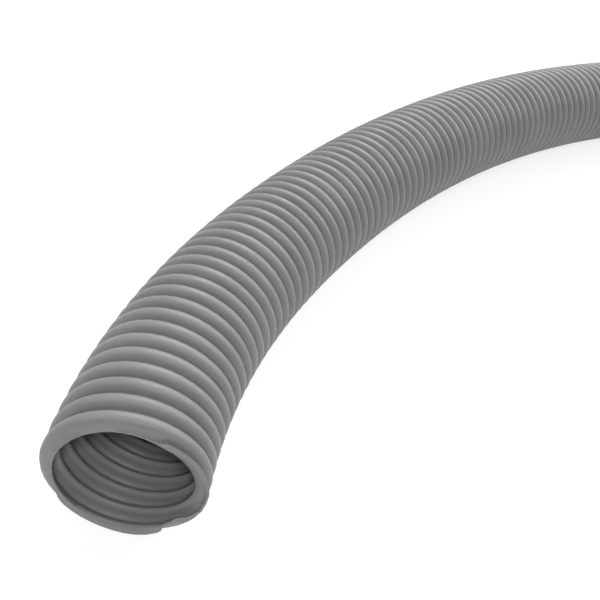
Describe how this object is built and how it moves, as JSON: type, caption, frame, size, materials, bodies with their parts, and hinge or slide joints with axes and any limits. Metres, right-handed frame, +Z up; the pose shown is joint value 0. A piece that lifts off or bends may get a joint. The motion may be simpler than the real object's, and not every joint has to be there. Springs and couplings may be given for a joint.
{
  "type": "corrugated conduit",
  "caption": "Length of flexible ribbed plastic tube, open at both ends, that keeps the bend of its coil and protects the cables pulled through it.",
  "frame": {"origin": "middle of the near cut end, on the tube's axis", "axes": "-Y out of the near end, +X out of the far end and towards the inside of the bend, +Z up off the ground that the tube lies on"},
  "size_m": [0.7977, 0.4805, 0.0498],
  "materials": {
    "conduit": "satin mid-grey plastic, as moulded"
  },
  "bodies": {
    "root": {"conduit": "conduit"}
  },
  "joints": []
}
